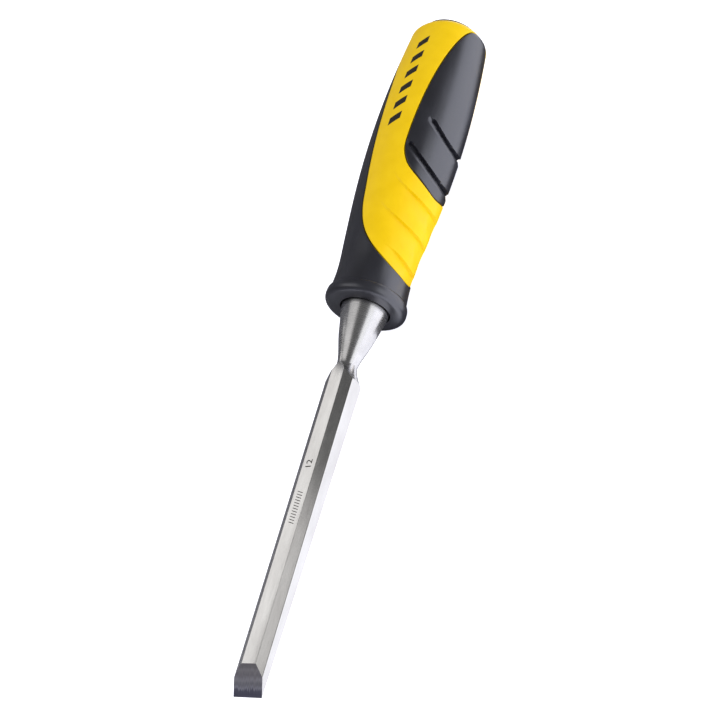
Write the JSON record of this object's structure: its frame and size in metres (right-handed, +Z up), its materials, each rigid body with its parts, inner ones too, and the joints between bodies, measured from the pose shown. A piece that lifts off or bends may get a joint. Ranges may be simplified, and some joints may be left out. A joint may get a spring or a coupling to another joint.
{
  "type": "bench chisel",
  "caption": "Bevel-edged bench chisel: flat steel blade with a ground cutting bevel, forged bolster, and a two-colour moulded grip with a soft side panel.",
  "frame": {"origin": "on the surface that the chisel lies on, under the middle of its length and width", "axes": "+X along the tool from the cutting edge to the struck end of the handle, +Z up, out of the bevelled side of the blade"},
  "size_m": [0.246, 0.0316, 0.03],
  "materials": {
    "blade_steel": "ground flats with fine grinding lines, satin polished bolster",
    "core_plastic": "fine moulded texture",
    "shell_plastic": "satin gloss, yellow",
    "soft_grip": "matte soft-touch, blue-black"
  },
  "bodies": {
    "root": {"blade": "blade_steel", "core": "core_plastic", "handle_shell": "shell_plastic", "front_grip": "soft_grip", "side_panel": "soft_grip"}
  },
  "joints": []
}
